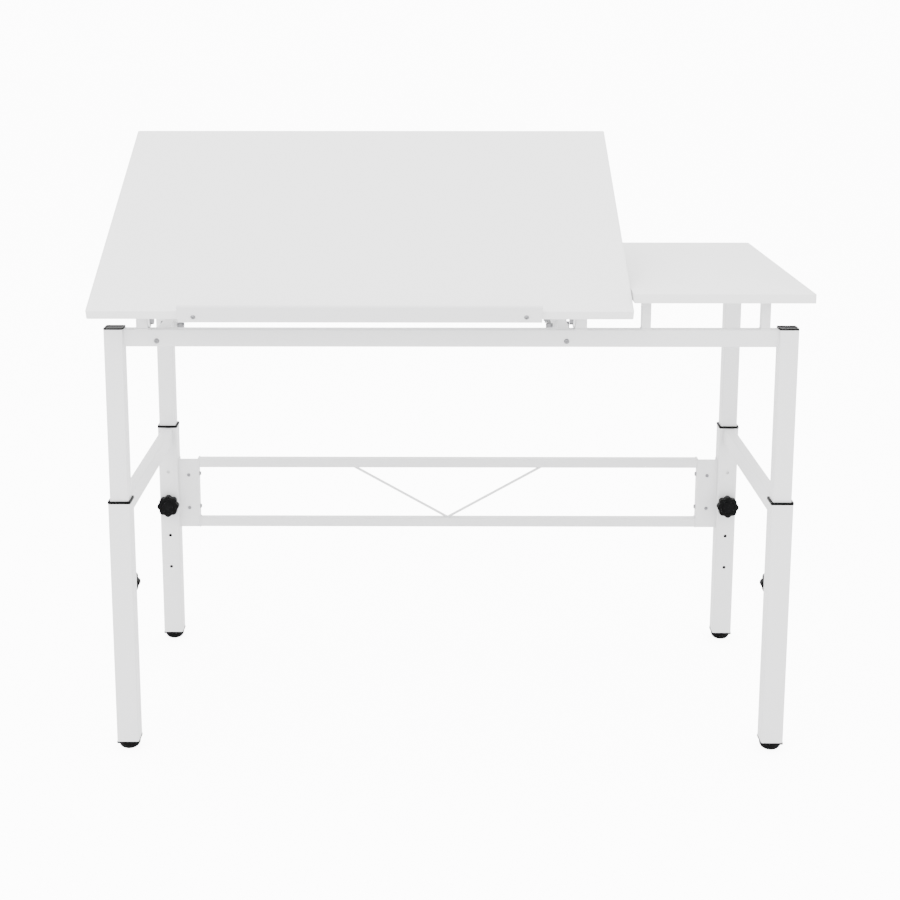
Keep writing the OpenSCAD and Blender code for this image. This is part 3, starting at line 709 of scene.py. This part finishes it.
class TABLE_OT_fittings(bpy.types.Operator):
    """Build the plastic caps, collars and feet of the four legs"""
    bl_idname = "table.fittings"
    bl_label = "Caps, collars and feet"
    bl_options = {"REGISTER", "UNDO"}

    def cap(self, leg, sizes):
        """A plug with a crowned head on an inner tube's upper end."""
        centre = leg_axis(leg)
        low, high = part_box("inner_tube_" + leg)
        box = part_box("tube_caps")
        head = box[1].z - high.z
        wide = box[1].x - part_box("inner_tube_front_right")[1].x
        side = high.x - low.x + 2 * wide
        piece = block("cap_" + leg, (side, side, head), (centre.x, centre.y, high.z + head / 2))
        round_uprights(piece, sizes.corner)
        bpy.ops.object.mode_set(mode="EDIT")
        pick_faces(piece, lambda c, n: n.z < -0.9)
        bpy.ops.mesh.inset(thickness=wide + PLUG_INSET)
        drop = high.z - box[0].z
        bpy.ops.mesh.extrude_region_move(TRANSFORM_OT_translate={"value": (0, 0, -drop)})
        pick_faces(piece, lambda c, n: n.z > 0.9 and c.z > high.z + head / 2)
        sink_face((centre.x, centre.y, 0), CAP_DISH, CAP_DISH_DEPTH)
        bpy.ops.object.mode_set(mode="OBJECT")
        round_edges(piece, sizes.soft, 3, 50.0)
        return piece, "tube_caps"

    def collar(self, leg, sizes):
        """A guide: a rim on the outer tube's end and a sleeve inside it."""
        centre = leg_axis(leg)
        low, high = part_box("leg_" + leg)
        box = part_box("leg_collars")
        inner_low, inner_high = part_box("inner_tube_" + leg)
        wide = box[1].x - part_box("leg_front_right")[1].x
        inside = inner_high.x - inner_low.x + 2 * COLLAR_GAP
        rim = ring("collar_" + leg, high.x - low.x + 2 * wide, inside, high.z, box[1].z, centre)
        reach = (high.x - low.x) / 2
        round_uprights(rim, sizes.corner,
                       lambda a, b: abs(a.x - centre.x) > reach and abs(a.y - centre.y) > reach)
        sleeve = ring("sleeve", high.x - low.x - COLLAR_WALLS, inside, box[0].z, high.z, centre)
        round_edges(rim, sizes.soft, 3, 50.0)
        return join([rim, sleeve]), "leg_collars"

    def foot(self, leg, sizes):
        """A foot: a plug, a flange under the tube's wall and a grooved dome on the floor."""
        centre = leg_axis(leg)
        low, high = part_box("leg_" + leg)
        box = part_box("feet")
        wide = box[1].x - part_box("leg_front_right")[1].x
        side = high.x - low.x
        dome = low.z - FLANGE
        plate = block("foot_" + leg, (side + 2 * wide, side + 2 * wide, FLANGE),
                      (centre.x, centre.y, low.z - FLANGE / 2))
        round_uprights(plate, sizes.corner)
        bpy.ops.object.mode_set(mode="EDIT")
        pick_faces(plate, lambda c, n: n.z > 0.9)
        bpy.ops.mesh.inset(thickness=wide + PLUG_INSET)
        rise = box[1].z - low.z
        bpy.ops.mesh.extrude_region_move(TRANSFORM_OT_translate={"value": (0, 0, rise)})
        bpy.ops.object.mode_set(mode="OBJECT")
        round_edges(plate, sizes.soft, 3, 50.0)
        bpy.ops.object.select_all(action="DESELECT")
        bpy.ops.mesh.primitive_cylinder_add(
            vertices=48, radius=side / 2, depth=dome, location=(centre.x, centre.y, dome / 2))
        bowl = start_piece("bowl")
        bpy.ops.object.transform_apply(location=True, rotation=False, scale=False)
        bpy.ops.object.mode_set(mode="EDIT")
        pick_edges(bowl, lambda a, b: a.z < 1e-5 and b.z < 1e-5)
        bpy.ops.mesh.bevel(offset=dome * DOME_ROUND, segments=8, affect="EDGES")
        pick_faces(bowl, lambda c, n: n.z < -0.99 and c.z < 1e-5)
        bpy.ops.mesh.inset(thickness=GROOVE_LAND, depth=0.0)
        bpy.ops.mesh.inset(thickness=GROOVE_WALL, depth=-GROOVE_DEPTH)
        bpy.ops.mesh.inset(thickness=GROOVE_FLOOR, depth=0.0)
        bpy.ops.mesh.inset(thickness=GROOVE_WALL, depth=GROOVE_DEPTH)
        bpy.ops.object.mode_set(mode="OBJECT")
        bpy.ops.object.shade_smooth_by_angle(angle=math.radians(40))
        return join([plate, bowl]), "feet"

    def execute(self, context):
        sizes = context.scene.table_sizes
        for leg in LEGS:
            for make in (self.cap, self.collar, self.foot):
                piece, node = make(leg, sizes)
                give(piece, "Moulded plastic")
                settle(piece)
                hand_over(piece, BODY_OF[node], SLOTS[node], node)
        return {"FINISHED"}


# ---- welds ----

def make_bead(name, body, centre, across, up, width, height, closed):
    """A weld bead round the foot of a square section, or round three sides of it."""
    sizes = bpy.context.scene.table_sizes
    bpy.ops.object.select_all(action="DESELECT")
    bpy.ops.mesh.primitive_plane_add(size=1)
    piece = start_piece(name)
    piece.scale = (width, height, 1)
    bpy.ops.object.transform_apply(location=False, rotation=False, scale=True)
    bpy.ops.object.mode_set(mode="EDIT")
    bpy.ops.mesh.select_all(action="SELECT")
    bpy.ops.mesh.delete(type="ONLY_FACE")
    if not closed:
        pick_edges(piece, lambda a, b: a.y > 0 and b.y > 0)
        bpy.ops.mesh.delete(type="EDGE")
        bpy.ops.mesh.select_all(action="DESELECT")
    bpy.ops.mesh.select_mode(type="VERT")
    bpy.ops.object.mode_set(mode="OBJECT")
    for point in piece.data.vertices:
        point.select = closed or point.co.y < 0
    bpy.ops.object.mode_set(mode="EDIT")
    bpy.ops.mesh.bevel(offset=BEAD_CORNER, segments=4, affect="VERTICES")
    bpy.ops.object.mode_set(mode="OBJECT")
    bpy.ops.object.convert(target="CURVE")
    curve = bpy.context.object
    curve.data.bevel_depth = sizes.bead
    curve.data.bevel_resolution = 2
    curve.data.use_fill_caps = True
    bpy.ops.object.convert(target="MESH")
    piece = bpy.context.object
    bpy.ops.object.shade_smooth()
    give(piece, "Coated steel")
    out = across.cross(up)
    turn = Matrix((across, up, out)).transposed().to_4x4()
    piece.matrix_world = Matrix.Translation(centre) @ turn
    settle(piece)
    hand_over(piece, body, "white_steel")


class TABLE_OT_welds(bpy.types.Operator):
    """Lay the weld beads where the tubes of the frame meet"""
    bl_idname = "table.welds"
    bl_label = "Weld beads"
    bl_options = {"REGISTER", "UNDO"}

    def execute(self, context):
        east, north, high_up = Vector((1, 0, 0)), Vector((0, 1, 0)), Vector((0, 0, 1))
        sink = context.scene.table_sizes.bead * BEAD_SINK
        for node in ("front_rail", "rear_rail"):
            low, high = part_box(node)
            middle = (low + high) / 2
            for side, x in (("left", low.x), ("right", high.x)):
                make_bead(f"weld_{node}_{side}", BODY_OF[node], Vector((x, middle.y, middle.z)),
                          north, high_up, high.y - low.y, high.z - low.z, False)
        for node in ("side_stretcher_left", "side_stretcher_right"):
            low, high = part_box(node)
            middle = (low + high) / 2
            for end, y in (("front", low.y), ("rear", high.y)):
                make_bead(f"weld_{node}_{end}", BODY_OF[node], Vector((middle.x, y, middle.z)),
                          east, high_up, high.x - low.x, high.z - low.z, False)
        for node in ("rear_bar_upper", "rear_bar_lower"):
            low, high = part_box(node)
            middle = (low + high) / 2
            for side, x in (("left", low.x + sink), ("right", high.x - sink)):
                make_bead(f"weld_{node}_{side}", BODY_OF[node], Vector((x, middle.y, middle.z)),
                          north, high_up, high.y - low.y, high.z - low.z, True)
        posts = [n for n in frame["nodes"] if n.startswith(("hinge_post", "side_post"))]
        for node in sorted(posts):
            low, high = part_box(node)
            middle = (low + high) / 2
            width = high.x - low.x
            make_bead("weld_" + node, BODY_OF[node], Vector((middle.x, middle.y, low.z)),
                      east, north, width, width, True)
        return {"FINISHED"}


# ---- finishes of the CAD nodes ----

class TABLE_OT_finishes(bpy.types.Operator):
    """Give every steel, plastic and zinc piece of the frame its material"""
    bl_idname = "table.finishes"
    bl_label = "Finishes"
    bl_options = {"REGISTER", "UNDO"}

    def execute(self, context):
        build_materials()
        finish_of = {
            "white_steel": "Coated steel",
            "white_laminate": "Panel face",
            "black_plastic": "Moulded plastic",
            "black_nylon": "Roller nylon",
            "zinc_steel": "Zinc steel",
        }
        for node, slot in SLOTS.items():
            dress(node, finish_of[slot])
        return {"FINISHED"}


# ---- stage ----

def area_light(name, place, target, size, power):
    data = bpy.data.lights.new(name, "AREA")
    data.shape = "RECTANGLE"
    data.size, data.size_y = size
    data.energy = power
    lamp = bpy.data.objects.new(name, data)
    bpy.context.collection.objects.link(lamp)
    lamp.location = place
    lamp.rotation_mode = "QUATERNION"
    lamp.rotation_quaternion = (Vector(target) - Vector(place)).to_track_quat("-Z", "Y")


class TABLE_OT_stage(bpy.types.Operator):
    """Set the floor, the soft light and the camera"""
    bl_idname = "table.stage"
    bl_label = "Studio"
    bl_options = {"REGISTER", "UNDO"}

    def execute(self, context):
        stage = context.scene.table_stage
        bpy.ops.object.select_all(action="DESELECT")
        bpy.ops.mesh.primitive_plane_add(size=FLOOR_SIZE)
        floor = start_piece("floor")
        floor.data.materials.append(bpy.data.materials["Studio floor"])
        world = bpy.data.worlds.new("Studio")
        world.use_nodes = True
        tree = world.node_tree
        tree.nodes["Background"].inputs["Color"].default_value = (1, 1, 1, 1)
        seen = tree.nodes.new("ShaderNodeLightPath").outputs["Is Camera Ray"]
        strength = maths(tree, "MULTIPLY_ADD", seen, stage.glow, stage.sky)
        tree.links.new(strength, tree.nodes["Background"].inputs["Strength"])
        context.scene.world = world
        for name, place, size, power in LIGHTS:
            area_light(name, place, LIT_POINT, size, power)
        data = bpy.data.cameras.new("camera")
        data.lens = stage.lens
        data.sensor_width = 36.0
        data.shift_x, data.shift_y = stage.shift
        camera = bpy.data.objects.new("camera", data)
        context.collection.objects.link(camera)
        camera.location = stage.eye
        camera.rotation_euler = (math.pi / 2 - stage.pitch, 0, -stage.turn)
        context.scene.camera = camera
        return {"FINISHED"}


# ---- panel and registration ----

OPERATORS = (TABLE_OT_finishes, TABLE_OT_tops, TABLE_OT_knobs, TABLE_OT_fittings,
             TABLE_OT_welds, TABLE_OT_stage)


class TABLE_PT_panel(bpy.types.Panel):
    """The steps that dress the table, and their settings"""
    bl_label = "Drafting Table"
    bl_idname = "TABLE_PT_panel"
    bl_space_type = "VIEW_3D"
    bl_region_type = "UI"
    bl_category = "Table"

    def draw(self, context):
        layout = self.layout
        for group in (context.scene.table_sizes, context.scene.table_colours,
                      context.scene.table_stage):
            box = layout.box()
            for name in group.__annotations__:
                box.prop(group, name)
        for operator in OPERATORS:
            layout.operator(operator.bl_idname)


CLASSES = (TableSizes, TableColours, StageSettings, *OPERATORS, TABLE_PT_panel)


def register():
    for cls in CLASSES:
        bpy.utils.register_class(cls)
    bpy.types.Scene.table_sizes = PointerProperty(type=TableSizes)
    bpy.types.Scene.table_colours = PointerProperty(type=TableColours)
    bpy.types.Scene.table_stage = PointerProperty(type=StageSettings)


def unregister():
    del bpy.types.Scene.table_sizes
    del bpy.types.Scene.table_colours
    del bpy.types.Scene.table_stage
    for cls in reversed(CLASSES):
        bpy.utils.unregister_class(cls)


def main():
    register()
    bpy.ops.table.finishes()
    bpy.ops.table.tops()
    bpy.ops.table.knobs()
    bpy.ops.table.fittings()
    bpy.ops.table.welds()
    bpy.ops.table.stage()


if __name__ == "__main__":
    main()
